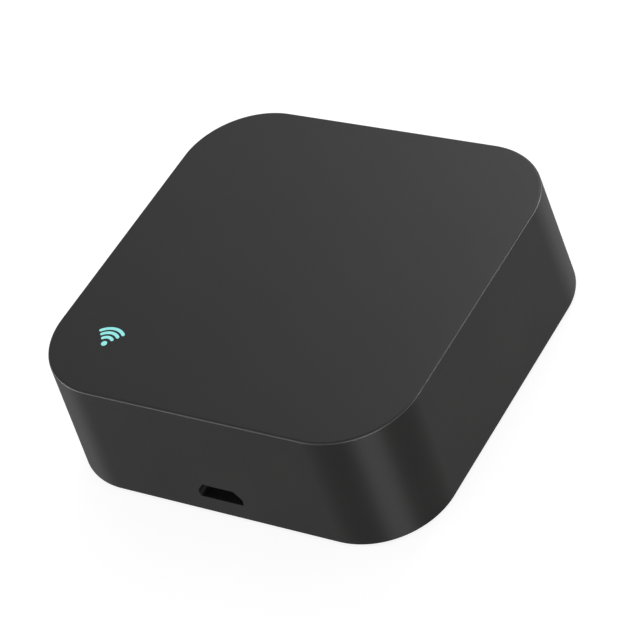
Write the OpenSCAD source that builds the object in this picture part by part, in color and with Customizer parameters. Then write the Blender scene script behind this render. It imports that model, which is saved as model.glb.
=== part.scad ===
// Square infrared remote hub. A drafted, round-cornered shell passes the infrared light of a ring
// of emitters on the circuit board inside. A clip-in cover on four rubber feet closes it below.
// It stands at z = 0 with +Z up. The power socket opens on the -Y side, and the reset button
// is in the cover underneath.

/* [Housing] */
// Width of the square footprint at the rim
body_w = 68; // [65:0.5:76]
// Height of the shell from its rim to its top face
body_h = 21.8; // [19:0.2:28]
// Radius of the footprint's corners at the rim
corner_r = 13.75; // [12.5:0.05:15]
// Draft of the side walls, in degrees
draft = 2; // [1:0.25:3]
// Thickness of the side walls
wall = 2; // [1.8:0.1:2.4]
// Thickness of the top
top_t = 2; // [1.6:0.1:2.4]
// Radius of the edge round the top
edge_r = 0.4; // [0.2:0.05:0.8]
// Radius inside, where the walls meet the top
ceiling_r = 1; // [0.6:0.1:2]
// Thickness of the wall beside the cover, at the rim
rim_t = 1.1; // [0.9:0.1:1.2]

/* [Base cover] */
// Thickness of the cover plate
cover_t = 1.8; // [1.6:0.1:2.4]
// Height of the cover's face above the rim
cover_inset = 0.2; // [0.1:0.05:0.4]
// Gap between the cover and the shell
cover_gap = 0.15; // [0.1:0.05:0.2]
// Height of the locating lip above the plate
lip_h = 1.5; // [1:0.1:2]
// Thickness of the locating lip
lip_t = 1; // [0.8:0.1:1.2]
// Height of the stiffening ribs above the plate
rib_h = 0.8; // [0.5:0.1:0.9]
// Thickness of the stiffening ribs
rib_t = 1; // [0.8:0.1:1.4]

/* [Cover clips] */
// Width of one clip
clip_w = 5; // [4:0.5:6]
// Thickness of one clip
clip_t = 1.1; // [0.9:0.1:1.2]
// Height of a clip above the plate
clip_h = 5; // [4.8:0.1:5.4]
// Height of a clip's catching face above the plate
catch_h = 3.2; // [2.8:0.1:3.4]
// How far a clip's barb stands out
barb_d = 0.7; // [0.5:0.05:0.8]
// Distance between the two clips of one side
clip_pitch = 26; // [24:0.5:30]
// Slot on each side of a clip, where the lip stops
clip_slot = 0.8; // [0.6:0.1:1.2]

/* [Rubber feet] */
// Diameter of a foot
foot_d = 9; // [7:0.5:10]
// Thickness of a foot
foot_t = 1.4; // [1.2:0.1:1.6]
// How far the feet lift the rim off the table
foot_proud = 0.6; // [0.4:0.1:0.8]
// Distance of a foot's centre from the sides of the footprint
foot_inset = 10; // [9:0.5:11]

/* [Power socket] */
// Width of the socket's metal shell on its wide, lower side
socket_w = 7.8; // [7.4:0.1:8]
// Width of the socket's metal shell on its narrow, upper side
socket_top_w = 5.6; // [5.2:0.1:6]
// Height of the socket's metal shell
socket_h = 2.35; // [2.2:0.05:2.6]
// Height of the shell's upright sides, below its slanted corners
socket_shoulder = 1.15; // [1:0.05:1.4]
// Length of the socket
socket_l = 5; // [4.6:0.1:5.6]
// Gap between the socket's outline and the cut-out in the wall
port_gap = 0.2; // [0.1:0.05:0.3]
// Height of the cut-out above the rim
port_rise = 3.25; // [3.1:0.05:4]

/* [Circuit board] */
// Thickness of the board
board_t = 1.6; // [1.2:0.1:1.8]
// Distance from the board's edge to the wall
board_margin = 1.8; // [1.6:0.1:2.2]
// Outer radius of the posts that carry the board
post_r = 2.4; // [2.2:0.1:2.6]
// Distance of a post's axis from the board's edge
post_inset = 5; // [4.4:0.1:5.6]
// Length of a board screw below its head
screw_l = 6; // [5:0.5:8]

/* [Emitters] */
// Diameter of an emitter's lens
emitter_d = 5; // [4.8:0.1:5]
// Length of an emitter from its base to its tip
emitter_l = 8.6; // [8:0.1:8.8]
// Gap from an emitter's tip to the wall
emitter_gap = 1.2; // [0.8:0.1:2]
// Distance from an emitter's base to the bend in its leads
lead_run = 2.2; // [1.8:0.1:2.4]

/* [Status light] */
// Distance of the light's centre from the left edge of the top
light_inset_x = 10.4; // [9.8:0.1:12]
// Distance of the light's centre from the front edge of the top
light_inset_y = 12.1; // [11:0.1:13]
// Diameter of the light pipe under the top
pipe_d = 6; // [5.6:0.1:6.4]
// Thickness of the top over the light pipe
window_t = 0.7; // [0.5:0.1:1]

/* [Reset button] */
// Diameter of the button
button_d = 3; // [2.6:0.1:3.4]
// How far the button travels
button_travel = 0.25; // [0.2:0.05:0.3]
// Width of the switch behind the button
switch_w = 6; // [5.8:0.1:6.2]
// Height of the switch's body
switch_h = 2; // [1.9:0.05:2.1]

/* [Hidden] */
$fn = 96;
// Steps in a rounded edge of an outline, and facets to a full turn of the socket's small corners
arc_steps = 6;
outline_fn = 24;
// Overrun of every cut past the face that it opens
cut = 0.5;

// Levels, from the table up
rim_z = foot_proud;
top_z = rim_z + body_h;
ceiling_z = top_z - top_t;
cover_z = rim_z + cover_inset;
ledge_z = cover_z + cover_t;
port_z = rim_z + port_rise;
socket_z = port_z + port_gap;
board_z = socket_z + socket_h;
board_top = board_z + board_t;

// Plan of the housing: the four corners turn about fixed upright axes
corner_c = body_w / 2 - corner_r;
rabbet_r = corner_r - rim_t;
cover_r = rabbet_r - cover_gap;
lip_r = wall_r(ledge_z + lip_h) - cover_gap;
clip_r = wall_r(ledge_z + clip_h) - cover_gap;
board_r = wall_r(board_z) - board_margin;
board_half = corner_c + board_r;
board_w = 2 * board_half;
foot_c = body_w / 2 - foot_inset;

// Clips and the pockets that catch them
clip_gap = 0.15;
catch_gap = 0.05;
barb_flat = 0.4;
clip_tip = 0.3;
clip_sides = 4;

// Feet
foot_edge = 0.3;
foot_gap = 0.1;

// Posts and board screws
post_x_share = 0.2;
post_y = board_half - post_inset;
pilot_r = 0.9;
pilot_depth = 8;
gusset_w = 1.6;
gusset_h = 4;
gusset_t = 0.8;
screw_gap = 0.05;
screw_r = pilot_r - screw_gap;
screw_head_r = 1.9;
screw_head_h = 1.3;
screw_head_edge = 0.35;
screw_slot_w = 0.5;
screw_slot_l = 2.2;
screw_slot_depth = 0.7;
board_hole_r = 1.15;

// Power socket
socket_t = 0.25;
socket_round = 0.3;
port_round = 0.35;
mouth_gap = 0.1;
mouth_y = -(corner_c + wall_r(board_z) - mouth_gap);
socket_back_y = mouth_y + socket_l;
tab_l = 0.9;
tab_rise = 2.3;
tab_gap = 0.1;
tab_inset = 0.7;
tab_ys = [tab_inset - board_half, socket_back_y - tab_inset - tab_l];
insulator_gap = 0.03;
insulator_l = 1.5;
tongue_w = 3.7;
tongue_t = 0.6;
tongue_inset = 0.8;
tongue_reach = socket_l - insulator_l - tongue_inset;
contact_n = 5;
contact_pitch = 0.65;
contact_w = 0.3;
contact_t = 0.12;
contact_tail = 0.6;
contact_foot = 0.5;

// Emitters: one at each eighth of a turn, but for the corner that has the status light
full_angle = 360;
eighth_angle = 45;
light_angle = 225;
emitter_angles = [for (a = [0 : eighth_angle : full_angle - eighth_angle]) if (a != light_angle) a];
emitter_n = len(emitter_angles);
emitter_r = emitter_d / 2;
emitter_flange = 0.4;
emitter_flange_t = 1;
emitter_flat = 0.05;
emitter_lift = 0.3;
emitter_z = board_top + emitter_lift + emitter_r + emitter_flange;
lead_w = 0.5;
lead_pitch = 2.54;
lead_bend = 0.8;
lead_stub = 1.1;
lead_hole_r = 0.5;
solder_r = 0.85;
solder_tip_r = 0.4;
solder_h = 0.8;

// Infrared receiver, lying on the board with its lens up
receiver_w = 7;
receiver_l = 7.2;
receiver_h = 3;
receiver_edge = 0.8;
receiver_lens_r = 2.6;
receiver_lens_rise = 1.5;
receiver_leads = 3;
shield_gap = 0.1;
shield_t = 0.25;

// Radio module
radio_w = 15;
radio_l = 17.3;
radio_t = 0.8;
radio_can_side = 1.3;
radio_can_w = radio_w - 2 * radio_can_side;
radio_can_h = 2;
radio_can_t = 0.2;
radio_can_r = 0.8;
radio_can_inset = 0.8;
radio_pad_r = 0.35;
radio_pad_pitch = 1.5;
radio_pads = 7;
antenna_w = 0.5;
antenna_t = 0.1;
antenna_turns = 6;
antenna_l = 3.6;
antenna_inset = 0.6;
antenna_clear = 1.5;
antenna_pitch = (radio_w - 2 * antenna_inset - antenna_w) / (2 * antenna_turns);
radio_can_l = radio_l - antenna_inset - antenna_l - antenna_clear - radio_can_inset;

// Status light pipe and its lamp
pipe_x = light_inset_x - side_x(top_z);
pipe_y = light_inset_y - side_x(top_z);
pipe_r = pipe_d / 2;
pipe_gap = 0.08;
pipe_foot_r = 1.5;
pipe_lift = 0.3;
collar_h = 3;
collar_t = 0.9;
lamp_w = 2;
lamp_l = 1.25;
lamp_h = 0.8;
lamp_lens_r = 0.5;
lamp_lens_h = 0.1;

// Reset button and its switch
button_r = button_d / 2;
button_gap = 0.08;
button_inset = 0.15;
button_edge = 0.2;
button_flange = 0.8;
button_flange_t = 0.6;
button_nose_r = 1.1;
dish_r = 3;
dish_depth = 0.4;
guide_gap = 0.15;
guide_t = 0.8;
guide_h = 0.9;
switch_cover_t = 0.2;
switch_well_r = 2.3;
switch_well_depth = 1.4;
plunger_r = 1.7;
plunger_gap = 0.08;
plunger_disc_t = 0.5;
plunger_nub_r = 0.6;
dome_h = 0.5;
dome_t = 0.12;
dome_rim_r = 2.1;
dome_crown_r = 0.9;
terminal_w = 0.7;
terminal_l = 1;
terminal_t = 0.25;
terminal_pitch = 4.5;
switch_low = board_z - switch_h - switch_cover_t;
button_tip_z = (ledge_z + button_flange_t + switch_low) / 2;

// Voltage regulator
regulator_w = 3.5;
regulator_l = 6.5;
regulator_h = 1.6;
regulator_pitch = 2.3;
regulator_lead_w = 0.7;
regulator_tab_w = 3;
regulator_lead_l = 1.7;
regulator_lead_t = 0.25;
regulator_leads = 3;

// Smoothing capacitor
capacitor_r = 3.15;
capacitor_h = 6;
capacitor_base_w = 6.6;
capacitor_base_h = 1;
capacitor_base_edge = 1.4;
capacitor_neck_z = 1.2;
capacitor_neck_d = 0.3;
capacitor_edge = 0.5;

// Driver transistors
transistor_w = 1.3;
transistor_l = 2.9;
transistor_h = 1;
transistor_lead_w = 0.4;
transistor_lead_l = 0.6;
transistor_lead_t = 0.15;
transistor_pitch = 1.9;

// Chip resistors and capacitors
chip_l = 2;
chip_w = 1.25;
chip_h = 0.55;
chip_end = 0.35;

// Places on the board: the large parts line up from the leads of the straight emitters inwards
part_gap = 1;
side_share = 0.2;
middle_share = 0.06;
middle_pitch = 3;
lead_line = emitter_base(0) - lead_run;
column_x = side_share * board_w;
radio_at = [0, lead_line - lead_w / 2 - part_gap - radio_l / 2];
radio_low = radio_at[1] - radio_l / 2;
receiver_at = [-column_x, radio_low - part_gap - shield_gap - shield_t - receiver_l / 2];
regulator_at = [column_x, radio_low - part_gap - regulator_l / 2];
capacitor_at = [0, radio_low - part_gap - capacitor_base_w / 2];
switch_at = [0, switch_w / 2 + part_gap + solder_r - lead_line];

// Small parts beside the radio module, by the share of its length above its lower end
left_transistor_shares = [0.12, 0.46];
right_transistor_shares = [0.46];
left_resistor_shares = [0.27, 0.72, 0.86];
right_resistor_shares = [0.3, 0.72];
right_capacitor_shares = [0.14, 0.86];
middle_y = capacitor_at[1] - capacitor_base_w / 2 - middle_pitch / 2;
transistor_places = concat(
    beside_radio(-column_x, left_transistor_shares),
    beside_radio(column_x, right_transistor_shares)
);
resistor_places = concat(
    beside_radio(-column_x, left_resistor_shares),
    beside_radio(column_x, right_resistor_shares),
    [[middle_share * board_w, middle_y]]
);
chip_capacitor_places = concat(
    beside_radio(column_x, right_capacitor_shares),
    [[-middle_share * board_w, middle_y]]
);

shell_tint = [0.15, 0.15, 0.15];
cover_tint = [0.13, 0.13, 0.13];
rubber_tint = [0.08, 0.08, 0.08];
glow_tint = [0.75, 0.98, 0.95];
board_tint = [0.05, 0.25, 0.14];
steel_tint = [0.72, 0.72, 0.72];
tin_tint = [0.8, 0.8, 0.8];
brass_tint = [0.8, 0.65, 0.3];
black_tint = [0.05, 0.05, 0.05];
emitter_tint = [0.35, 0.4, 0.55];
chip_tint = [0.6, 0.5, 0.4];

// Distance of the outer wall from the corner's axis, at height z
function side_r(z) = corner_r - (z - rim_z) * tan(draft);

// Distance of the wall's inner face from the corner's axis, at height z
function wall_r(z) = side_r(z) - wall;

// Distance of the outer wall from the middle of the housing, at height z
function side_x(z) = corner_c + side_r(z);

// Lower edge along X of the socket's tab on one side
function tab_x(side) = side * (socket_w - socket_t) / 2 - socket_t / 2;

// Places at x beside the radio module, one for each share of its length
function beside_radio(x, shares) = [for (share = shares) [x, radio_low + share * radio_l]];

// Points along an arc
function arc(centre, r, from, to) = [
    for (i = [0 : arc_steps])
        let (a = from + (to - from) * i / arc_steps) centre + r * [cos(a), sin(a)]
];

// Outline of a rectangle w by l with corners of radius r, about the origin
function rounded_outline(w, l, r) = concat(
    arc([w / 2 - r, l / 2 - r], r, 0, 90),
    arc([r - w / 2, l / 2 - r], r, 90, 180),
    arc([r - w / 2, r - l / 2], r, 180, 270),
    arc([w / 2 - r, r - l / 2], r, 270, 360)
);

// Distance of an emitter's base from the middle, straight out or out to a corner
function emitter_base(angle) =
    corner_c * (angle % (2 * eighth_angle) == 0 ? 1 : sqrt(2))
    + wall_r(emitter_z) - emitter_gap - emitter_l;

// Runs an outline of [distance from the corner's axis, height] round the rounded square
module swept() {
    for (turn = [0 : 90 : 270])
        rotate(turn) translate([corner_c, corner_c]) {
            rotate_extrude(angle = 90) children();
            rotate([90, 0, 0]) linear_extrude(2 * corner_c) children();
        }
}

// Slab of the rounded square, r beyond the corner axes
module rounded_plate(r, z_low, z_high) {
    translate([-corner_c, -corner_c, z_low]) cube([2 * corner_c, 2 * corner_c, z_high - z_low]);
    swept() translate([0, z_low]) square([r, z_high - z_low]);
}

// Turns an outline of [x, z] into a solid between two places along Y
module along_y(y_low, y_high) {
    translate([0, y_high, 0]) rotate([90, 0, 0]) linear_extrude(y_high - y_low) children();
}

// Copies at the four places (x, y), (-x, y), (-x, -y) and (x, -y)
module mirrored_places(x, y) {
    for (sx = [-1, 1], sy = [-1, 1]) translate([sx * x, sy * y, 0]) children();
}

// Copies at the two clips of each side, where +X points out of that side
module clip_places() {
    for (side = [0 : clip_sides - 1], along = [-1, 1])
        rotate(side * 360 / clip_sides) translate([corner_c, along * clip_pitch / 2, 0]) children();
}

// Solid of width w across Y from an outline of [x, z]
module across(w) {
    translate([0, w / 2, 0]) rotate([90, 0, 0]) linear_extrude(w) children();
}

// The socket's outline with its narrow side up, standing on z = 0 and grown by gap
module socket_outline(gap, r) {
    offset(r = r, $fn = outline_fn) offset(delta = gap - r) polygon([
        [-socket_w / 2, 0], [socket_w / 2, 0], [socket_w / 2, socket_shoulder],
        [socket_top_w / 2, socket_h], [-socket_top_w / 2, socket_h], [-socket_w / 2, socket_shoulder]
    ]);
}

// Section of the shell's wall, from the rim up to the middle of the top
module shell_profile() {
    edge_z = top_z - edge_r;
    inner_z = ceiling_z - ceiling_r;
    polygon(concat(
        [[corner_r, rim_z]],
        arc([side_r(edge_z) - edge_r / cos(draft), edge_z], edge_r, draft, 90),
        [[0, top_z], [0, ceiling_z]],
        arc([wall_r(inner_z) - ceiling_r / cos(draft), inner_z], ceiling_r, 90, draft),
        [[wall_r(ledge_z), ledge_z], [rabbet_r, ledge_z], [rabbet_r, rim_z]]
    ));
}

// Stands a part on the board's top, at [x, y]
module on_board(at) {
    translate(concat(at, board_top)) children();
}

// Hollow post from the top down to the board, with four gussets at its root
module board_post() {
    translate([0, 0, board_top]) cylinder(h = ceiling_z + top_t / 2 - board_top, r = post_r);
    for (turn = [0 : 90 : 270])
        rotate(turn) across(gusset_t) polygon([
            [0, ceiling_z + top_t / 2], [post_r + gusset_w, ceiling_z + top_t / 2],
            [post_r + gusset_w, ceiling_z], [post_r, ceiling_z - gusset_h], [0, ceiling_z - gusset_h]
        ]);
}

// Pocket in the wall's inner face for one clip's barb
module clip_pocket() {
    across(clip_w + 2 * clip_gap) polygon([
        [clip_r - cut, ledge_z + catch_h - catch_gap],
        [clip_r + barb_d + clip_gap, ledge_z + catch_h - catch_gap],
        [clip_r + barb_d + clip_gap, ledge_z + catch_h + barb_flat + clip_gap],
        [clip_r, ledge_z + clip_h + clip_gap],
        [clip_r - cut, ledge_z + clip_h + clip_gap]
    ]);
}

module upper_shell() {
    color(shell_tint) difference() {
        union() {
            translate([-corner_c, -corner_c, ceiling_z]) cube([2 * corner_c, 2 * corner_c, top_t]);
            swept() shell_profile();
            mirrored_places(post_x_share * board_w, post_y) board_post();
            translate([pipe_x, pipe_y, ceiling_z - collar_h])
                cylinder(h = collar_h + top_t / 2, r = pipe_r + pipe_gap + collar_t);
        }
        mirrored_places(post_x_share * board_w, post_y)
            translate([0, 0, board_top - cut]) cylinder(h = pilot_depth + cut, r = pilot_r);
        translate([pipe_x, pipe_y, ceiling_z - collar_h - cut])
            cylinder(h = collar_h + cut + top_t - window_t, r = pipe_r + pipe_gap);
        clip_places() clip_pocket();
        along_y(-body_w / 2 - cut, mouth_y)
            translate([0, socket_z]) socket_outline(port_gap, port_round);
    }
}

// Upright spring clip, with its barb outwards
module clip() {
    catch_z = ledge_z + catch_h;
    across(clip_w) polygon([
        [clip_r - clip_t, ledge_z - cover_t / 2], [clip_r, ledge_z - cover_t / 2],
        [clip_r, catch_z], [clip_r + barb_d, catch_z], [clip_r + barb_d, catch_z + barb_flat],
        [clip_r - clip_tip, ledge_z + clip_h], [clip_r - clip_t, ledge_z + clip_h]
    ]);
}

// Locating lip round the cover, stopped at the clips and at the socket
module cover_lip() {
    difference() {
        swept() translate([lip_r - lip_t, ledge_z - cover_t / 2]) square([lip_t, lip_h + cover_t / 2]);
        clip_places() translate([0, -clip_w / 2 - clip_slot, ledge_z])
            cube([corner_r, clip_w + 2 * clip_slot, lip_h + cut]);
        translate([-socket_w / 2 - clip_slot, -body_w / 2, ledge_z])
            cube([socket_w + 2 * clip_slot, body_w / 2, lip_h + cut]);
    }
}

// Stiffening ribs, two each way, tied to the lip
module cover_ribs() {
    rib_l = 2 * (corner_c + lip_r - lip_t / 2);
    for (turn = [0, 90], along = [-1, 1])
        rotate(turn) translate([-rib_l / 2, along * corner_c / 2 - rib_t / 2, ledge_z - cover_t / 2])
            cube([rib_l, rib_t, rib_h + cover_t / 2]);
}

module base_cover() {
    guide_r = button_r + button_flange + guide_gap;
    color(cover_tint) difference() {
        union() {
            rounded_plate(cover_r, cover_z, ledge_z);
            cover_lip();
            difference() {
                cover_ribs();
                translate(concat(switch_at, ledge_z)) cylinder(h = rib_h + cut, r = guide_r);
            }
            clip_places() clip();
            translate(concat(switch_at, ledge_z - cover_t / 2)) difference() {
                cylinder(h = guide_h + cover_t / 2, r = guide_r + guide_t);
                translate([0, 0, cover_t / 2]) cylinder(h = guide_h + cut, r = guide_r);
            }
        }
        translate(concat(switch_at, cover_z - cut))
            cylinder(h = cover_t + 2 * cut, r = button_r + button_gap);
        translate(concat(switch_at, cover_z)) {
            cylinder(h = dish_depth, r1 = dish_r, r2 = button_r + button_gap);
            translate([0, 0, -cut]) cylinder(h = cut, r = dish_r);
        }
        mirrored_places(foot_c, foot_c)
            translate([0, 0, cover_z - cut])
                cylinder(h = foot_t - cover_z + cut, r = foot_d / 2 + foot_gap);
    }
}

// One stick-on foot with a rounded lower edge
module rubber_foot() {
    color(rubber_tint) rotate_extrude() polygon(concat(
        [[0, 0]],
        arc([foot_d / 2 - foot_edge, foot_edge], foot_edge, -90, 0),
        [[foot_d / 2, foot_t], [0, foot_t]]
    ));
}

// Number i of the four feet
module foot_at(i) {
    rotate(i * 90) translate([foot_c, foot_c, 0]) rubber_foot();
}

module reset_button() {
    button_z = cover_z + button_inset;
    color(black_tint) translate(switch_at) rotate_extrude() polygon([
        [0, button_z], [button_r - button_edge, button_z], [button_r, button_z + button_edge],
        [button_r, ledge_z], [button_r + button_flange, ledge_z],
        [button_r + button_flange, ledge_z + button_flange_t],
        [button_nose_r, ledge_z + button_flange_t], [button_nose_r, button_tip_z], [0, button_tip_z]
    ]);
}

module light_pipe() {
    foot_z = board_top + lamp_h + lamp_lens_h + pipe_lift;
    head_z = ceiling_z - collar_h;
    color(glow_tint) translate([pipe_x, pipe_y, 0]) {
        translate([0, 0, head_z]) cylinder(h = collar_h + top_t - window_t, r = pipe_r);
        translate([0, 0, foot_z]) cylinder(h = head_z - foot_z, r1 = pipe_foot_r, r2 = pipe_r);
    }
}

// Place of number i of the emitters, with +X out through the lens
module emitter_place(i) {
    rotate(emitter_angles[i]) translate([emitter_base(emitter_angles[i]), 0, 0]) children();
}

module circuit_board() {
    color(board_tint) difference() {
        rounded_plate(board_r, board_z, board_top);
        mirrored_places(post_x_share * board_w, post_y)
            translate([0, 0, board_z - cut]) cylinder(h = board_t + 2 * cut, r = board_hole_r);
        for (i = [0 : emitter_n - 1], side = [-1, 1])
            emitter_place(i) translate([-lead_run, side * lead_pitch / 2, board_z - cut])
                cylinder(h = board_t + 2 * cut, r = lead_hole_r);
        receiver_lead_places()
            translate([0, 0, board_z - cut]) cylinder(h = board_t + 2 * cut, r = lead_hole_r);
        for (side = [-1, 1], y = tab_ys)
            translate([tab_x(side) - tab_gap, y - tab_gap, board_z - cut])
                cube([socket_t + 2 * tab_gap, tab_l + 2 * tab_gap, board_t + 2 * cut]);
    }
}

// Pan-head screw from below the board up into a post
module board_screw() {
    difference() {
        union() {
            translate([0, 0, board_z]) cylinder(h = screw_l, r = screw_r);
            translate([0, 0, board_z - screw_head_h]) rotate_extrude() polygon([
                [0, 0], [screw_head_r - screw_head_edge, 0], [screw_head_r, screw_head_edge],
                [screw_head_r, screw_head_h], [0, screw_head_h]
            ]);
        }
        for (turn = [0, 90])
            rotate(turn) translate([-screw_slot_l / 2, -screw_slot_w / 2, board_z - screw_head_h - cut])
                cube([screw_slot_l, screw_slot_w, screw_slot_depth + cut]);
    }
}

module board_screws() {
    color(steel_tint) mirrored_places(post_x_share * board_w, post_y) board_screw();
}

// Clear lens body lying on its side, with a flat on its flange
module ir_emitter(i) {
    color(emitter_tint) emitter_place(i) translate([0, 0, emitter_z]) difference() {
        rotate([0, 90, 0]) rotate_extrude() polygon(concat(
            [[0, 0], [emitter_r + emitter_flange, 0], [emitter_r + emitter_flange, emitter_flange_t],
             [emitter_r, emitter_flange_t]],
            arc([0, emitter_l - emitter_r], emitter_r, 0, 90)
        ));
        translate([-cut, emitter_r + emitter_flat, -emitter_d])
            cube([emitter_flange_t + 2 * cut, emitter_r, 2 * emitter_d]);
    }
}

// Square wire from the origin along -X, bent down to z = -drop
module bent_lead(run, drop) {
    translate([lead_bend - run, -lead_w / 2, -lead_w / 2]) cube([run - lead_bend, lead_w, lead_w]);
    translate([lead_bend - run, 0, -lead_bend]) rotate([90, 0, 0]) rotate(90)
        rotate_extrude(angle = 90) translate([lead_bend - lead_w / 2, -lead_w / 2]) square(lead_w);
    translate([-run - lead_w / 2, -lead_w / 2, -drop]) cube([lead_w, lead_w, drop - lead_bend]);
}

// A bent lead from height z, with its solder joint under the board
module soldered_lead(run, z) {
    translate([0, 0, z]) bent_lead(run, z - board_z + lead_stub);
    translate([-run, 0, board_z - solder_h]) cylinder(h = solder_h, r1 = solder_tip_r, r2 = solder_r);
}

module ir_emitter_leads(i) {
    color(tin_tint) emitter_place(i)
        for (side = [-1, 1]) translate([0, side * lead_pitch / 2, 0]) soldered_lead(lead_run, emitter_z);
}

// Holes of the receiver's leads
module receiver_lead_places() {
    translate(receiver_at) for (i = [0 : receiver_leads - 1])
        translate([(i - (receiver_leads - 1) / 2) * lead_pitch, -receiver_l / 2 - lead_run, 0]) children();
}

module ir_receiver_body() {
    color(black_tint) translate(receiver_at) translate([0, 0, board_top + shield_gap]) {
        linear_extrude(receiver_h) polygon([
            [-receiver_w / 2, -receiver_l / 2], [receiver_w / 2, -receiver_l / 2],
            [receiver_w / 2, receiver_l / 2 - receiver_edge],
            [receiver_w / 2 - receiver_edge, receiver_l / 2],
            [receiver_edge - receiver_w / 2, receiver_l / 2],
            [-receiver_w / 2, receiver_l / 2 - receiver_edge]
        ]);
        intersection() {
            translate([0, 0, receiver_h + receiver_lens_rise - receiver_lens_r])
                sphere(r = receiver_lens_r);
            translate([0, 0, receiver_h / 2]) cylinder(h = receiver_h, r = receiver_lens_r + cut);
        }
    }
}

module ir_receiver_leads() {
    color(tin_tint) translate(receiver_at) for (i = [0 : receiver_leads - 1])
        translate([(i - (receiver_leads - 1) / 2) * lead_pitch, -receiver_l / 2, 0]) rotate(90)
            soldered_lead(lead_run, board_top + shield_gap + receiver_h / 2);
}

// Folded can round the receiver, open towards the leads and over the lens
module ir_receiver_shield() {
    inner_w = receiver_w + 2 * shield_gap;
    inner_l = receiver_l + shield_gap;
    inner_h = receiver_h + 2 * shield_gap;
    color(steel_tint) translate(receiver_at) difference() {
        translate([-inner_w / 2 - shield_t, -receiver_l / 2, board_top])
            cube([inner_w + 2 * shield_t, inner_l + shield_t, inner_h + shield_t]);
        translate([-inner_w / 2, -receiver_l / 2 - cut, board_top - cut])
            cube([inner_w, inner_l + cut, inner_h + cut]);
        translate([0, 0, board_top])
            cylinder(h = inner_h + shield_t + cut, r = receiver_lens_r + shield_gap);
    }
}

module radio_module_board() {
    color(board_tint) on_board(radio_at) difference() {
        translate([-radio_w / 2, -radio_l / 2, 0]) cube([radio_w, radio_l, radio_t]);
        for (side = [-1, 1], i = [0 : radio_pads - 1])
            translate([side * radio_w / 2, radio_pad_pitch * (i + 1) - radio_l / 2, -cut])
                cylinder(h = radio_t + 2 * cut, r = radio_pad_r);
    }
}

module radio_module_shield() {
    color(steel_tint) on_board(radio_at)
        translate([0, (radio_can_l - radio_l) / 2 + radio_can_inset, radio_t]) difference() {
            linear_extrude(radio_can_h) polygon(rounded_outline(radio_can_w, radio_can_l, radio_can_r));
            translate([0, 0, -cut]) linear_extrude(radio_can_h - radio_can_t + cut) polygon(rounded_outline(
                radio_can_w - 2 * radio_can_t, radio_can_l - 2 * radio_can_t, radio_can_r - radio_can_t
            ));
        }
}

// Meandering trace at the end of the radio module
module radio_antenna() {
    start_x = -antenna_turns * antenna_pitch;
    color(brass_tint) on_board(radio_at)
        translate([0, radio_l / 2 - antenna_inset - antenna_l, radio_t]) for (i = [0 : 2 * antenna_turns]) {
            translate([start_x + i * antenna_pitch - antenna_w / 2, 0, 0])
                cube([antenna_w, antenna_l, antenna_t]);
            if (i < 2 * antenna_turns)
                translate([
                    start_x + i * antenna_pitch - antenna_w / 2,
                    i % 2 == 0 ? antenna_l - antenna_w : 0,
                    0
                ]) cube([antenna_pitch + antenna_w, antenna_w, antenna_t]);
        }
}

module socket_shell() {
    color(steel_tint) {
        along_y(mouth_y, socket_back_y) translate([0, socket_z]) difference() {
            socket_outline(0, socket_round);
            socket_outline(-socket_t, socket_round - socket_t / 2);
        }
        for (side = [-1, 1], y = tab_ys)
            translate([tab_x(side), y, socket_z + socket_shoulder / 2])
                cube([socket_t, tab_l, socket_h - socket_shoulder / 2 + tab_rise]);
    }
}

// Outline of one contact in [y, z]: along the tongue's lower face, out at the back and up to the board
module contact_outline() {
    tongue_z = socket_z + (socket_h - tongue_t) / 2;
    front_y = socket_back_y - insulator_l - tongue_reach + contact_foot;
    tail_y = socket_back_y + contact_tail;
    polygon([
        [front_y, tongue_z - contact_t], [tail_y, tongue_z - contact_t],
        [tail_y, board_z - contact_t], [tail_y + contact_foot, board_z - contact_t],
        [tail_y + contact_foot, board_z], [tail_y - contact_t, board_z],
        [tail_y - contact_t, tongue_z], [front_y, tongue_z]
    ]);
}

module contact_row() {
    for (i = [0 : contact_n - 1])
        translate([(i - (contact_n - 1) / 2) * contact_pitch - contact_w / 2, 0, 0])
            rotate([90, 0, 90]) linear_extrude(contact_w) contact_outline();
}

module socket_insulator() {
    tongue_z = socket_z + (socket_h - tongue_t) / 2;
    color(black_tint) difference() {
        union() {
            along_y(socket_back_y - insulator_l, socket_back_y)
                translate([0, socket_z])
                    socket_outline(-socket_t - insulator_gap, socket_round - socket_t / 2);
            translate([-tongue_w / 2, socket_back_y - insulator_l - tongue_reach, tongue_z])
                cube([tongue_w, tongue_reach + insulator_l / 2, tongue_t]);
        }
        contact_row();
    }
}

module socket_contacts() {
    color(brass_tint) contact_row();
}

module switch_body() {
    color(black_tint) translate(switch_at) difference() {
        translate([-switch_w / 2, -switch_w / 2, board_z - switch_h]) cube([switch_w, switch_w, switch_h]);
        translate([0, 0, board_z - switch_h - cut])
            cylinder(h = switch_well_depth + cut, r = switch_well_r);
    }
}

module switch_cover() {
    color(steel_tint) translate(concat(switch_at, switch_low)) difference() {
        translate([-switch_w / 2, -switch_w / 2, 0]) cube([switch_w, switch_w, switch_cover_t]);
        translate([0, 0, -cut]) cylinder(h = switch_cover_t + 2 * cut, r = plunger_r + plunger_gap);
    }
}

module switch_plunger() {
    disc_z = switch_low + switch_cover_t;
    nub_z = disc_z + switch_well_depth - dome_h;
    color(black_tint) translate(switch_at) rotate_extrude() polygon([
        [0, button_tip_z], [plunger_r, button_tip_z], [plunger_r, disc_z],
        [switch_well_r - plunger_gap, disc_z], [switch_well_r - plunger_gap, disc_z + plunger_disc_t],
        [plunger_nub_r, disc_z + plunger_disc_t], [plunger_nub_r, nub_z], [0, nub_z]
    ]);
}

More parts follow.
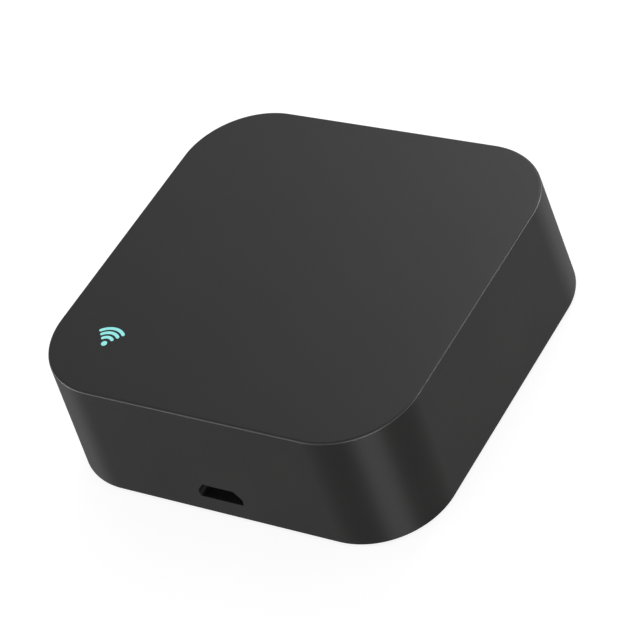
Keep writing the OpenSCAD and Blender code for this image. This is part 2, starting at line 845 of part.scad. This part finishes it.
// Snap dome between the plunger and the floor of the switch
module switch_dome() {
    rim_top = board_z - switch_h + switch_well_depth;
    color(brass_tint) translate(switch_at) rotate_extrude() polygon([
        [0, rim_top - dome_h], [dome_crown_r, rim_top - dome_h], [dome_rim_r, rim_top - dome_t],
        [dome_rim_r, rim_top], [dome_rim_r - dome_t, rim_top], [dome_crown_r, rim_top - dome_h + dome_t],
        [0, rim_top - dome_h + dome_t]
    ]);
}

module switch_terminals() {
    color(tin_tint) translate(switch_at) for (side = [-1, 1], along = [-1, 1])
        translate([
            side * (switch_w + terminal_l) / 2 - terminal_l / 2,
            along * terminal_pitch / 2 - terminal_w / 2,
            board_z - terminal_t
        ]) cube([terminal_l, terminal_w, terminal_t]);
}

module status_lamp() {
    color(glow_tint) translate([pipe_x, pipe_y, board_top]) {
        translate([-lamp_w / 2, -lamp_l / 2, 0]) cube([lamp_w, lamp_l, lamp_h]);
        cylinder(h = lamp_h + lamp_lens_h, r = lamp_lens_r);
    }
}

module regulator_body() {
    color(black_tint) on_board(regulator_at)
        translate([-regulator_w / 2, -regulator_l / 2, regulator_lead_t])
            cube([regulator_w, regulator_l, regulator_h]);
}

// Flat lead under the body that runs out by l, w wide
module flat_lead(l, w, t) {
    translate([0, -w / 2, 0]) cube([l, w, t]);
}

module regulator_leads() {
    reach = regulator_w / 2 + regulator_lead_l;
    color(tin_tint) on_board(regulator_at) {
        for (i = [0 : regulator_leads - 1])
            translate([0, (i - (regulator_leads - 1) / 2) * regulator_pitch, 0]) rotate(180)
                flat_lead(reach, regulator_lead_w, regulator_lead_t);
        translate([regulator_lead_w, 0, 0])
            flat_lead(reach - regulator_lead_w, regulator_tab_w, regulator_lead_t);
    }
}

module capacitor_base() {
    edge = capacitor_base_w / 2 - capacitor_base_edge;
    half = capacitor_base_w / 2;
    color(black_tint) on_board(capacitor_at) linear_extrude(capacitor_base_h) polygon([
        [-half, -half], [half, -half], [half, edge], [edge, half], [-edge, half], [-half, edge]
    ]);
}

// Aluminium can with a rolled neck
module capacitor_can() {
    color(steel_tint) on_board(capacitor_at) translate([0, 0, capacitor_base_h])
        rotate_extrude() polygon(concat(
            [[0, 0], [capacitor_r, 0], [capacitor_r, capacitor_neck_z - capacitor_neck_d]],
            [[capacitor_r - capacitor_neck_d, capacitor_neck_z]],
            [[capacitor_r, capacitor_neck_z + capacitor_neck_d]],
            arc([capacitor_r - capacitor_edge, capacitor_h - capacitor_edge], capacitor_edge, 0, 90),
            [[0, capacitor_h]]
        ));
}

// Copies on the board's top at each of the places [x, y]
module board_places(places) {
    for (at = places) on_board(at) children();
}

module transistor_bodies() {
    color(black_tint) board_places(transistor_places)
        translate([-transistor_l / 2, -transistor_w / 2, transistor_lead_t])
            cube([transistor_l, transistor_w, transistor_h]);
}

module transistor_leads() {
    reach = transistor_w / 2 + transistor_lead_l;
    color(tin_tint) board_places(transistor_places) {
        for (side = [-1, 1])
            translate([side * transistor_pitch / 2, 0, 0]) rotate(-90)
                flat_lead(reach, transistor_lead_w, transistor_lead_t);
        translate([0, transistor_lead_w, 0]) rotate(90)
            flat_lead(reach - transistor_lead_w, transistor_lead_w, transistor_lead_t);
    }
}

// Middle of a chip part, between its two ends
module chip_middle() {
    translate([chip_end - chip_l / 2, -chip_w / 2, 0]) cube([chip_l - 2 * chip_end, chip_w, chip_h]);
}

module chip_resistors() {
    color(black_tint) board_places(resistor_places) chip_middle();
}

module chip_capacitors() {
    color(chip_tint) board_places(chip_capacitor_places) chip_middle();
}

// Plated ends of all the chip parts
module chip_ends() {
    color(tin_tint) board_places(concat(resistor_places, chip_capacitor_places)) for (side = [-1, 1])
        translate([side * (chip_l - chip_end) / 2 - chip_end / 2, -chip_w / 2, 0])
            cube([chip_end, chip_w, chip_h]);
}

upper_shell();
base_cover();
foot_at(0);  // rubber_foot_1
foot_at(1);  // rubber_foot_2
foot_at(2);  // rubber_foot_3
foot_at(3);  // rubber_foot_4
reset_button();
light_pipe();
circuit_board();
board_screws();
for (i = [0 : emitter_n - 1]) {
    ir_emitter(i);
    ir_emitter_leads(i);
}
ir_receiver_body();
ir_receiver_shield();
ir_receiver_leads();
radio_module_board();
radio_module_shield();
radio_antenna();
socket_shell();
socket_insulator();
socket_contacts();
switch_body();
switch_cover();
switch_plunger();
switch_dome();
switch_terminals();
status_lamp();
regulator_body();
regulator_leads();
capacitor_can();
capacitor_base();
transistor_bodies();
transistor_leads();
chip_resistors();
chip_capacitors();
chip_ends();
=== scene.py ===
import math

import bmesh
import bpy
from mathutils import Matrix, Vector


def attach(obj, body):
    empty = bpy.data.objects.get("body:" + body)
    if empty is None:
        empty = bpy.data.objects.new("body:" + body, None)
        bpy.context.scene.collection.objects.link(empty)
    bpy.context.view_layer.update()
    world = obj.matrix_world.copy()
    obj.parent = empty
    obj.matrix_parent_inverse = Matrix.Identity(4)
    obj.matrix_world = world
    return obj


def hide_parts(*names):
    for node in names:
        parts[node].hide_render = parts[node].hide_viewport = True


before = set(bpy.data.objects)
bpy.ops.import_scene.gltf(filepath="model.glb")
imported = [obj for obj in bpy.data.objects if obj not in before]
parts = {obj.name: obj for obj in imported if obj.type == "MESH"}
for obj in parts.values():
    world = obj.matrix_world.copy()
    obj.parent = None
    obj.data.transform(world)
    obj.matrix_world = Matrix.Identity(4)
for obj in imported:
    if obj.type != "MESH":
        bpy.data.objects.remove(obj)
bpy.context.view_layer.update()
mm = 0.001

# Upper shell: one injection moulding in black plastic that lets infrared through, drafted by two
# degrees so that it leaves its mould. Its top has a spark texture and its walls are polished along
# the draw. Its walls are painted as shade, darker than its top and with a weaker reflection. It is
# open below for the base cover, and the socket's cut-out is in its front wall.
body_w = 68 * mm
rim_z = 0.6 * mm
top_z = 22.4 * mm
draft = math.radians(2)
corner_r = 13.4 * mm
corner_steps = 40
edge_r = 0.42 * mm
edge_steps = 8
foot_edge_r = 0.12 * mm
foot_edge_steps = 3
shell_low = rim_z + 0.01 * mm
weld = 0.001 * mm
near_level = 0.9


def half_width(z):
    """half the body's width at a height"""
    return body_w / 2 - (z - rim_z) * math.tan(draft)


def piece_of(form, name, sharp=30, merge=0.1 * weld):
    """an object of its own from a finished bmesh, smooth but for its sharp edges"""
    bmesh.ops.remove_doubles(form, verts=form.verts, dist=merge)
    bmesh.ops.recalc_face_normals(form, faces=form.faces)
    mesh = bpy.data.meshes.new(name)
    form.to_mesh(mesh)
    form.free()
    mesh.shade_smooth()
    mesh.set_sharp_from_angle(angle=math.radians(sharp))
    made = bpy.data.objects.new(name, mesh)
    bpy.context.scene.collection.objects.link(made)
    return made


def bevel(form, edges, size, steps):
    """rounds edges by a circular arc"""
    bmesh.ops.bevel(
        form, geom=edges, offset=size, offset_type="OFFSET", segments=steps,
        profile=0.5, affect="EDGES", material=-1, clamp_overlap=True)


def drafted_block(low, high, half_low, half_high, radius, steps):
    """a square block whose sides lean in, with round upright corners"""
    form = bmesh.new()
    bmesh.ops.create_cube(form, size=1)
    for vert in form.verts:
        z, half = (high, half_high) if vert.co.z > 0 else (low, half_low)
        vert.co = Vector((vert.co.x * 2 * half, vert.co.y * 2 * half, z))
    upright = [e for e in form.edges if abs(e.verts[0].co.z - e.verts[1].co.z) > (high - low) / 2]
    bevel(form, upright, radius, steps)
    return form


def edges_round(form, z):
    """the edges round the level face at a height"""
    level = [f for f in form.faces if abs(f.normal.z) > near_level]
    face = [f for f in level if abs(f.calc_center_median().z - z) < weld][0]
    return list(face.edges)


def settle(piece):
    """turns what a piece's modifiers make of it into its own mesh"""
    bpy.context.view_layer.update()
    whole = piece.evaluated_get(bpy.context.evaluated_depsgraph_get())
    mesh = bpy.data.meshes.new_from_object(whole)
    piece.modifiers.clear()
    piece.data = mesh


def even_shading(piece):
    """keeps the flat faces flat beside their narrow round edges"""
    shading = piece.modifiers.new("even_shading", "WEIGHTED_NORMAL")
    shading.mode = "FACE_AREA"
    shading.weight = 100
    shading.keep_sharp = True
    settle(piece)


def without(piece, *cutters):
    """cuts other solids out of a piece and throws them away"""
    for cutter in cutters:
        cut = piece.modifiers.new(cutter.name, "BOOLEAN")
        cut.object = cutter
        cut.operation = "DIFFERENCE"
        cut.solver = "EXACT"
    settle(piece)
    form = bmesh.new()
    form.from_mesh(piece.data)
    bmesh.ops.remove_doubles(form, verts=form.verts, dist=weld)
    form.to_mesh(piece.data)
    form.free()
    piece.data.shade_smooth()
    piece.data.set_sharp_from_angle(angle=math.radians(30))
    for cutter in cutters:
        bpy.data.objects.remove(cutter)


form = drafted_block(
    shell_low, top_z, half_width(shell_low), half_width(top_z), corner_r, corner_steps)
form.normal_update()
top_edges, foot_edges = edges_round(form, top_z), edges_round(form, shell_low)
bevel(form, top_edges, edge_r, edge_steps)
bevel(form, foot_edges, foot_edge_r, foot_edge_steps)
upper_shell = piece_of(form, "shell")

# The room inside it is the CAD shell's own, with its posts, gussets, clip pockets and collar:
# a block a skin's thickness inside the walls, from which the CAD shell is cut away.
skin = 0.6 * mm
room_low, room_high = -1 * mm, top_z - skin
room_corner_steps = 24
form = drafted_block(
    room_low, room_high, half_width(room_low) - skin, half_width(room_high) - skin,
    corner_r - skin, room_corner_steps)
room = piece_of(form, "room")
form = bmesh.new()
form.from_mesh(parts["upper_shell"].data)
without(room, piece_of(form, "cad_shell", merge=weld))

# The cut-out's tool is a hair larger than the CAD shell's cut-out. It is made lying down, with its
# mouth at height zero and flared by a small round, and then stood up into the front wall.
port_z = 3.83 * mm
port_w = 8.24 * mm
port_top_w = 5.8 * mm
port_h = 2.79 * mm
port_shoulder = 1.455 * mm
port_levels = {1: (port_top_w, port_h), 0: (port_w, port_h - port_shoulder), -1: (port_w, 0)}
port_depth = 4 * mm
port_overrun = 1.5 * mm
port_square_corner, square_corner_steps = 0.35 * mm, 5
port_slant_corner, slant_corner_steps = 0.14 * mm, 4
port_edge_r, port_edge_steps = 0.06 * mm, 8
form = bmesh.new()
bmesh.ops.create_circle(
    form, cap_ends=True, segments=6, radius=1, matrix=Matrix.Rotation(math.radians(30), 4, "Z"))
for vert in form.verts:
    width, level = port_levels[round(vert.co.y)]
    vert.co = Vector((math.copysign(width / 2, vert.co.x), level - port_h / 2, -port_depth))
outward = bmesh.ops.extrude_face_region(form, geom=form.faces[:])["geom"]
outward = [v for v in outward if isinstance(v, bmesh.types.BMVert)]
bmesh.ops.translate(form, vec=(0, 0, port_depth), verts=outward)
bmesh.ops.recalc_face_normals(form, faces=form.faces)
lengthwise = [e for e in form.edges if abs(e.verts[0].co.z - e.verts[1].co.z) > port_depth / 2]
square = [e for e in lengthwise if e.verts[0].co.y < port_shoulder / 2 - port_h / 2]
slant = [e for e in lengthwise if e not in square]
bevel(form, slant, port_slant_corner, slant_corner_steps)
bevel(form, [e for e in square if e.is_valid], port_square_corner, square_corner_steps)
form.normal_update()
mouth = [f for f in form.faces if f.normal.z > near_level][0]
for step in range(port_edge_steps):
    start, end = (math.radians(90) * k / port_edge_steps for k in (step, step + 1))
    bmesh.ops.inset_individual(
        form, faces=[mouth], thickness=-port_edge_r * (math.cos(start) - math.cos(end)),
        depth=port_edge_r * (math.sin(end) - math.sin(start)), use_even_offset=True)
bmesh.ops.inset_individual(form, faces=[mouth], thickness=0, depth=port_overrun)
for vert in form.verts:
    if vert.co.z > -port_depth / 2:
        vert.co.z -= vert.co.y * math.tan(draft)
bmesh.ops.rotate(
    form, cent=(0, 0, 0), matrix=Matrix.Rotation(math.radians(90), 3, "X"), verts=form.verts)
port_mid = port_z + port_h / 2
bmesh.ops.translate(
    form, vec=(0, -half_width(port_mid) + port_edge_r, port_mid), verts=form.verts)
port_cutter = piece_of(form, "port_cutter")
without(upper_shell, room, port_cutter)
even_shading(upper_shell)

# The top and the upper steps of its round edge keep the first material. The walls and the edge's
# lower steps take the second, the same plastic painted darker as shade, with a weaker reflection.
wall_slope = 0.35
for face in upper_shell.data.polygons:
    below_edge = face.center.z < top_z - 2 * edge_r and face.normal.z < near_level
    face.material_index = int(abs(face.normal.z) < wall_slope or below_edge)


def put(tree, kind, sockets=None, **settings):
    """a node, with its sockets set to values or joined to other nodes' outputs"""
    made = tree.nodes.new("ShaderNode" + kind)
    for name, value in settings.items():
        setattr(made, name, value)
    for key, value in (sockets or {}).items():
        if isinstance(value, bpy.types.NodeSocket):
            tree.links.new(value, made.inputs[key])
        else:
            made.inputs[key].default_value = value
    return made


def noise(tree, place, scale, detail, **more):
    """a soft random cloud over a piece"""
    sockets = {"Vector": place, "Scale": scale, "Detail": detail, **more}
    return put(tree, "TexNoise", sockets).outputs["Fac"]


def shade(tree, amount, dark, light, low=0.3, high=0.7):
    """a colour that runs from dark to light as the amount does"""
    ramp = put(tree, "ValToRGB", {"Fac": amount})
    for stop, place, colour in zip(ramp.color_ramp.elements, (low, high), (dark, light)):
        stop.position = place
        stop.color = (*colour, 1)
    return ramp.outputs["Color"]


def spread(tree, amount, low, high):
    """a number that runs from low to high as the amount does"""
    return put(tree, "MapRange", {0: amount, 1: 0.25, 2: 0.75, 3: low, 4: high}).outputs[0]


def relief(tree, shader, height, strength, depth):
    """raises and lowers a surface finely"""
    bump = put(tree, "Bump", {"Height": height, "Strength": strength, "Distance": depth})
    tree.links.new(bump.outputs["Normal"], shader.inputs["Normal"])


def finish(name, **sockets):
    """a new material with its constant sockets set, its tree, shader and place on the piece"""
    made = bpy.data.materials.new(name)
    made.use_nodes = True
    tree = made.node_tree
    shader = tree.nodes["Principled BSDF"]
    for key, value in sockets.items():
        shader.inputs[key.replace("_", " ").replace("Ior", "IOR")].default_value = value
    place = put(tree, "TexCoord").outputs["Object"]
    return made, tree, shader, place


def moulded(name, dark, light, gloss, grain, depth, specular):
    """moulded plastic: spark texture, slow drift in tone and gloss"""
    made, tree, shader, place = finish(name, Specular_Ior_Level=specular)
    fine = noise(tree, place, 1 / grain, 3, Roughness=0.6)
    pits = put(tree, "TexVoronoi", {"Vector": place, "Scale": 0.7 / grain}, feature="SMOOTH_F1")
    slow = noise(tree, place, 55, 4, Roughness=0.55)
    sparks = put(tree, "Math", {0: fine, 1: pits.outputs["Distance"]}, operation="ADD")
    tree.links.new(shade(tree, slow, dark, light), shader.inputs["Base Color"])
    tree.links.new(spread(tree, fine, gloss - 0.05, gloss + 0.05), shader.inputs["Roughness"])
    relief(tree, shader, sparks.outputs[0], 1, depth)
    return made


shell_plastic = moulded(
    "shell_plastic", dark=(0.0095, 0.0096, 0.0094), light=(0.0118, 0.0118, 0.0115),
    gloss=0.46, grain=0.22 * mm, depth=0.004 * mm, specular=0.4)
# The walls' plastic: the top's plastic painted darker and with a weaker reflection, as painted
# shade. Its anisotropy gives the polish along the draw.
drawn_plastic_painted_shade = moulded(
    "drawn_plastic_painted_shade", dark=(0.0058, 0.0058, 0.0058), light=(0.0072, 0.0072, 0.0070),
    gloss=0.5, grain=0.22 * mm, depth=0.004 * mm, specular=0.104)
shader = drawn_plastic_painted_shade.node_tree.nodes["Principled BSDF"]
shader.inputs["Anisotropic"].default_value = 0.85
shader.inputs["Anisotropic Rotation"].default_value = 0.25
upper_shell.data.materials.append(shell_plastic)
upper_shell.data.materials.append(drawn_plastic_painted_shade)
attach(upper_shell, "housing")
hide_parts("upper_shell")

# Status sign: a dot and three arcs, printed in translucent teal on the top face over the light
# pipe, which lights it from below. That glow is painted into the ink as an emission. The ink
# stands a few hundredths of a millimetre proud.
sign_dot = Vector((-22.64, -22.91, 0)) * mm
sign_dot_r = 0.505 * mm
sign_arcs = [r * mm for r in (1.37, 2.35, 3.29)]
sign_stroke = 0.56 * mm
sign_spread = math.radians(41.5)
sign_steps = 32
sign_end_steps = 12
ink_t = 0.03 * mm
ink_sink = 0.01 * mm


def arc_with_round_ends(form, centre, radius, stroke, spread_angle):
    """a flat band along an arc that opens towards +Y, closed by half discs"""
    first = Vector((math.sin(spread_angle), math.cos(spread_angle), 0))
    across = [form.verts.new(centre + first * (radius + side * stroke / 2)) for side in (-1, 0, 1)]
    pair = [form.edges.new(across[:2]), form.edges.new(across[1:])]
    bmesh.ops.spin(
        form, geom=[*across, *pair], cent=centre, axis=(0, 0, 1), angle=2 * spread_angle,
        steps=sign_steps)
    for side in (-1, 1):
        way = Vector((side * math.sin(spread_angle), math.cos(spread_angle), 0))
        middle = centre + way * radius
        rim = form.verts.new(centre + way * (radius + stroke / 2))
        hub = form.verts.new(middle)
        spoke = form.edges.new((hub, rim))
        bmesh.ops.spin(
            form, geom=[hub, rim, spoke], cent=middle, axis=(0, 0, 1), angle=-side * math.pi,
            steps=sign_end_steps)


form = bmesh.new()
for radius in sign_arcs:
    arc_with_round_ends(form, sign_dot, radius, sign_stroke, sign_spread)
bmesh.ops.create_circle(
    form, cap_ends=True, segments=sign_steps, radius=sign_dot_r,
    matrix=Matrix.Translation(sign_dot))
bmesh.ops.remove_doubles(form, verts=form.verts, dist=weld)
form.normal_update()
bmesh.ops.reverse_faces(form, faces=[f for f in form.faces if f.normal.z < 0])
bmesh.ops.translate(form, vec=(0, 0, top_z - ink_sink), verts=form.verts)
bmesh.ops.solidify(form, geom=form.faces[:], thickness=-(ink_t + ink_sink))
status_sign = piece_of(form, "status_sign", sharp=40)

sign_ink_and_painted_glow, tree, shader, place = finish(
    "sign_ink_and_painted_glow", Roughness=0.45, Specular_Ior_Level=0.3, Emission_Strength=0.8)
ink_dark, ink_light = (0.06, 0.27, 0.26), (0.09, 0.32, 0.30)
# Painted glow: the emission colours stand in for the status lamp's light through the pipe.
painted_glow_dark, painted_glow_light = (0.28, 0.78, 0.76), (0.38, 0.89, 0.87)
cloud = noise(tree, place, 900, 3)
tree.links.new(shade(tree, cloud, ink_dark, ink_light), shader.inputs["Base Color"])
tree.links.new(shade(tree, cloud, painted_glow_dark, painted_glow_light), shader.inputs["Emission Color"])
relief(tree, shader, noise(tree, place, 9000, 2), 0.6, 0.004 * mm)
status_sign.data.materials.append(sign_ink_and_painted_glow)
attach(status_sign, "housing")


# Light pipe: a stub moulded in clear acrylic and pressed into the collar under the sign. Its haze
# spreads the status lamp's light over the sign; here the sign's glow is painted into its ink.
def dress(material, *names):
    """gives CAD nodes their material"""
    for name in names:
        slots = parts[name].data.materials
        slots.clear()
        slots.append(material)


def clear(name, through, refraction, dark, light, scale, detail, gloss, strength):
    """clear plastic or resin with a faint haze"""
    made, tree, shader, place = finish(name, Transmission_Weight=through, Ior=refraction)
    haze = noise(tree, place, scale, detail)
    tree.links.new(shade(tree, haze, dark, light), shader.inputs["Base Color"])
    tree.links.new(spread(tree, haze, *gloss), shader.inputs["Roughness"])
    relief(tree, shader, haze, strength, 0.01 * mm)
    return made


clear_plastic = clear(
    "clear_plastic", through=0.9, refraction=1.49, dark=(0.72, 0.93, 0.91),
    light=(0.82, 0.97, 0.95), scale=700, detail=3, gloss=(0.08, 0.3), strength=0.3)
dress(clear_plastic, "light_pipe")

# Circuit board: glass-filled laminate cut from a panel, under green solder mask through which the
# copper tracks show. It hangs from the upper shell's four posts.
board_mask, tree, shader, place = finish("board_mask", Specular_Ior_Level=0.5, Coat_Weight=0.3)
tracks = put(tree, "TexBrick", {
    "Vector": place, "Scale": 260, "Color1": (1, 1, 1, 1), "Color2": (0.7, 0.7, 0.7, 1),
    "Mortar": (0, 0, 0, 1), "Mortar Size": 0.03, "Mortar Smooth": 0.2, "Brick Width": 0.9,
    "Row Height": 0.25}).outputs["Color"]
weave = noise(tree, place, 1400, 3)
grey_weave = shade(tree, weave, (0.2, 0.2, 0.2), (0.8, 0.8, 0.8))
copper = put(tree, "Mix", {0: 0.35, 6: tracks, 7: grey_weave}, data_type="RGBA").outputs[2]
mask = shade(tree, copper, (0.006, 0.055, 0.026), (0.014, 0.12, 0.055), low=0.2, high=0.8)
tree.links.new(mask, shader.inputs["Base Color"])
tree.links.new(spread(tree, weave, 0.26, 0.4), shader.inputs["Roughness"])
relief(tree, shader, copper, 0.5, 0.03 * mm)
dress(board_mask, "circuit_board")


# Power socket: a shell folded from plated steel, painted dark as the shade inside the cut-out,
# round a moulded insulator with five gold-plated contacts. It is soldered to the board behind the
# cut-out.
def metal(name, dark, light, gloss, drift, scale, depth):
    """bare or plated metal: tarnish, uneven gloss and a fine surface"""
    made, tree, shader, place = finish(name, Metallic=1)
    slow = noise(tree, place, scale / 8, 4)
    fine = noise(tree, place, scale, 3)
    tree.links.new(shade(tree, slow, dark, light), shader.inputs["Base Color"])
    tree.links.new(spread(tree, slow, gloss - drift, gloss + drift), shader.inputs["Roughness"])
    relief(tree, shader, fine, 0.5, depth)
    return made


plated_steel_painted_shade = metal(
    "plated_steel_painted_shade", dark=(0.085, 0.085, 0.087), light=(0.125, 0.125, 0.127),
    gloss=0.42, drift=0.06, scale=3000, depth=0.004 * mm)
gold_plate = metal(
    "gold_plate", dark=(0.75, 0.50, 0.18), light=(0.93, 0.68, 0.30),
    gloss=0.28, drift=0.08, scale=2500, depth=0.004 * mm)
black_epoxy = moulded(
    "black_epoxy", dark=(0.010, 0.010, 0.011), light=(0.017, 0.017, 0.018),
    gloss=0.5, grain=0.08 * mm, depth=0.004 * mm, specular=0.4)
dress(plated_steel_painted_shade, "socket_shell")
dress(black_epoxy, "socket_insulator")
dress(gold_plate, "socket_contacts")

# Reset switch: a moulded body with a plunger, a snap dome of gold-plated spring steel and a plated
# steel cover. Its tinned terminals are soldered under the board.
plated_steel = metal(
    "plated_steel", dark=(0.42, 0.42, 0.40), light=(0.62, 0.61, 0.58),
    gloss=0.3, drift=0.08, scale=3000, depth=0.004 * mm)
tinned_lead = metal(
    "tinned_lead", dark=(0.55, 0.55, 0.56), light=(0.74, 0.74, 0.75),
    gloss=0.32, drift=0.1, scale=2500, depth=0.01 * mm)
button_plastic = moulded(
    "button_plastic", dark=(0.008, 0.008, 0.008), light=(0.013, 0.013, 0.013),
    gloss=0.38, grain=0.15 * mm, depth=0.002 * mm, specular=0.4)
dress(black_epoxy, "switch_body")
dress(plated_steel, "switch_cover")
dress(button_plastic, "switch_plunger")
dress(gold_plate, "switch_dome")
dress(tinned_lead, "switch_terminals")

# Status lamp: a chip lamp cast in clear resin and soldered to the board under the light pipe,
# through which it lights the sign. Here it gives no light: the sign's glow is painted into its
# ink.
dress(clear_plastic, "status_lamp")

# Infrared emitters: seven lamps cast in faintly blue epoxy, each on two tinned leads soldered into
# the board, so that they shine out through the walls all round.
emitter_resin = clear(
    "emitter_resin", through=0.95, refraction=1.55, dark=(0.62, 0.68, 0.90),
    light=(0.75, 0.80, 0.95), scale=500, detail=2, gloss=(0.03, 0.1), strength=0.2)
for emitter in range(1, 8):
    dress(emitter_resin, f"ir_emitter_{emitter}")
    dress(tinned_lead, f"ir_emitter_leads_{emitter}")

# Infrared receiver: a body moulded in black epoxy, in a shield folded from plated steel. Its three
# tinned leads are soldered into the board.
dress(black_epoxy, "ir_receiver_body")
dress(plated_steel, "ir_receiver_shield")
dress(tinned_lead, "ir_receiver_leads")

# Radio module: a small laminate board with its chips under a plated steel can, and a gold-plated
# antenna trace. It is soldered to the circuit board.
dress(board_mask, "radio_module_board")
dress(plated_steel, "radio_module_shield")
dress(gold_plate, "radio_antenna")

# Supply and driver parts: a regulator and three transistors moulded in epoxy on tinned leads, and
# a smoothing capacitor, an aluminium can on its base. All are soldered to the board.
bare_aluminium = metal(
    "bare_aluminium", dark=(0.62, 0.62, 0.63), light=(0.76, 0.76, 0.77),
    gloss=0.36, drift=0.08, scale=2000, depth=0.006 * mm)
dress(black_epoxy, "regulator_body", "transistor_bodies", "capacitor_base")
dress(tinned_lead, "regulator_leads", "transistor_leads")
dress(bare_aluminium, "capacitor_can")

# Chip resistors and capacitors: small fired ceramic blocks, the resistors under a black coat, with
# tinned ends by which they are soldered to the board.
chip_ceramic = moulded(
    "chip_ceramic", dark=(0.20, 0.13, 0.08), light=(0.34, 0.24, 0.16),
    gloss=0.45, grain=0.06 * mm, depth=0.003 * mm, specular=0.5)
dress(black_epoxy, "chip_resistors")
dress(chip_ceramic, "chip_capacitors")
dress(tinned_lead, "chip_ends")

# Board screws: four small screws in plated steel. They hold the finished board to the upper
# shell's posts.
dress(plated_steel, "board_screws")

# Reset button: a small flanged cap moulded in black plastic. It sits in its hole in the base
# cover, kept by its flange, under the switch's plunger.
dress(button_plastic, "reset_button")

# Base cover: a plate moulded in black plastic with a coarser texture, with ribs, a locating lip
# and eight spring clips that seat in the upper shell's pockets.
cover_plastic = moulded(
    "cover_plastic", dark=(0.0105, 0.0105, 0.0105), light=(0.0145, 0.0145, 0.0142),
    gloss=0.55, grain=0.3 * mm, depth=0.01 * mm, specular=0.3)
dress(cover_plastic, "base_cover")

# Rubber feet: four discs of black rubber, glued into the base cover's recesses. The hub stands
# on them.
foot_rubber = moulded(
    "foot_rubber", dark=(0.011, 0.011, 0.011), light=(0.022, 0.022, 0.021),
    gloss=0.75, grain=0.2 * mm, depth=0.01 * mm, specular=0.25)
for foot in range(1, 5):
    dress(foot_rubber, f"rubber_foot_{foot}")

# Studio floor: a plain pale sheet. It glows for the rays that see or mirror it, and has a grey
# paint for the light that falls on it, so it looks almost white and keeps the hub's soft shadow.
floor_half = 3
floor_drop = 0.02 * mm
floor_glow = 0.86
floor_form = bmesh.new()
bmesh.ops.create_grid(
    floor_form, x_segments=1, y_segments=1, size=floor_half,
    matrix=Matrix.Translation((0, 0, -floor_drop)))
floor = piece_of(floor_form, "floor")
floor_paint, tree, shader, place = finish("floor_paint", Roughness=0.9, Specular_Ior_Level=0.1)
mottle = shade(tree, noise(tree, place, 40, 3), (0.39, 0.39, 0.39), (0.41, 0.41, 0.41))
tree.links.new(mottle, shader.inputs["Base Color"])
rays = put(tree, "LightPath").outputs
mirrored = put(
    tree, "Math", {0: rays["Is Camera Ray"], 1: rays["Is Glossy Ray"]}, operation="MAXIMUM")
seen = put(
    tree, "Math", {0: mirrored.outputs[0], 1: rays["Is Transmission Ray"]}, operation="MAXIMUM")
strength = put(tree, "Math", {0: seen.outputs[0], 1: floor_glow}, operation="MULTIPLY")
glow = put(tree, "Emission", {"Color": (1, 1, 1, 1), "Strength": strength.outputs[0]})
both = put(tree, "AddShader", {0: shader.outputs[0], 1: glow.outputs[0]})
tree.links.new(both.outputs[0], tree.nodes["Material Output"].inputs["Surface"])
floor.data.materials.append(floor_paint)

# Studio light: an even sky, two soft boxes behind the hub for its top, and five low strips round
# it. The strips lie below the top's plane, so they draw the bands on its walls and corners alone.
sky_strength = 0.35
sky = bpy.data.worlds.new("sky")
bpy.context.scene.world = sky
sky.use_nodes = True
background = sky.node_tree.nodes["Background"]
background.inputs["Color"].default_value = (1, 1, 1, 1)
background.inputs["Strength"].default_value = sky_strength


def soft_box(name, azimuth, elevation, distance, width, height, power):
    """an area lamp that points at the object from a compass direction"""
    lamp = bpy.data.lights.new(name, "AREA")
    lamp.shape = "RECTANGLE"
    lamp.size = width
    lamp.size_y = height
    lamp.energy = power
    made = bpy.data.objects.new(name, lamp)
    bpy.context.scene.collection.objects.link(made)
    turn, rise = math.radians(azimuth), math.radians(elevation)
    way = Vector((
        math.cos(turn) * math.cos(rise), math.sin(turn) * math.cos(rise), math.sin(rise)))
    made.location = way * distance
    made.rotation_euler = way.to_track_quat("Z", "Y").to_euler()
    made.visible_camera = False


strip_far, strip_h, strip_z = 1.2, 0.02, 0.012
strip_rise = math.degrees(math.asin(strip_z / strip_far))
for name, azimuth, width, power in (
        ("front_strip", -44, 0.66, 26.5),
        ("left_strip", -118, 0.5, 4.2),
        ("left_back_strip", -148, 0.5, 8.7),
        ("right_strip", 34, 0.5, 4.7),
        ("right_back_strip", 58, 0.45, 7.7)):
    soft_box(name, azimuth, strip_rise, strip_far, width, strip_h, power)
soft_box("back_box", 100, 40, distance=0.6, width=0.3, height=0.3, power=1.04)
soft_box("far_back_box", 133, 40, distance=1.2, width=0.5, height=0.5, power=0.64)

# Camera: where the photograph was taken from, as solved from the hub's outline in it. Its focal
# length is given for a picture 36 mm wide.
photo_camera = bpy.data.cameras.new("photo_camera")
photo_camera.lens = 155.19
photo_camera.sensor_width = 36
camera = bpy.data.objects.new("photo_camera", photo_camera)
bpy.context.scene.collection.objects.link(camera)
right = Vector((0.84164, 0.47053, -0.26504))
down = Vector((0.16758, -0.69411, -0.70009))
forward = Vector((-0.51338, 0.54481, -0.66304))
aim = Matrix((right, -down, -forward)).transposed().to_4x4()
aim.translation = Vector((228.34, -240.99, 303.97)) * mm
camera.matrix_world = aim
bpy.context.scene.camera = camera
bpy.context.scene.view_settings.view_transform = "Standard"
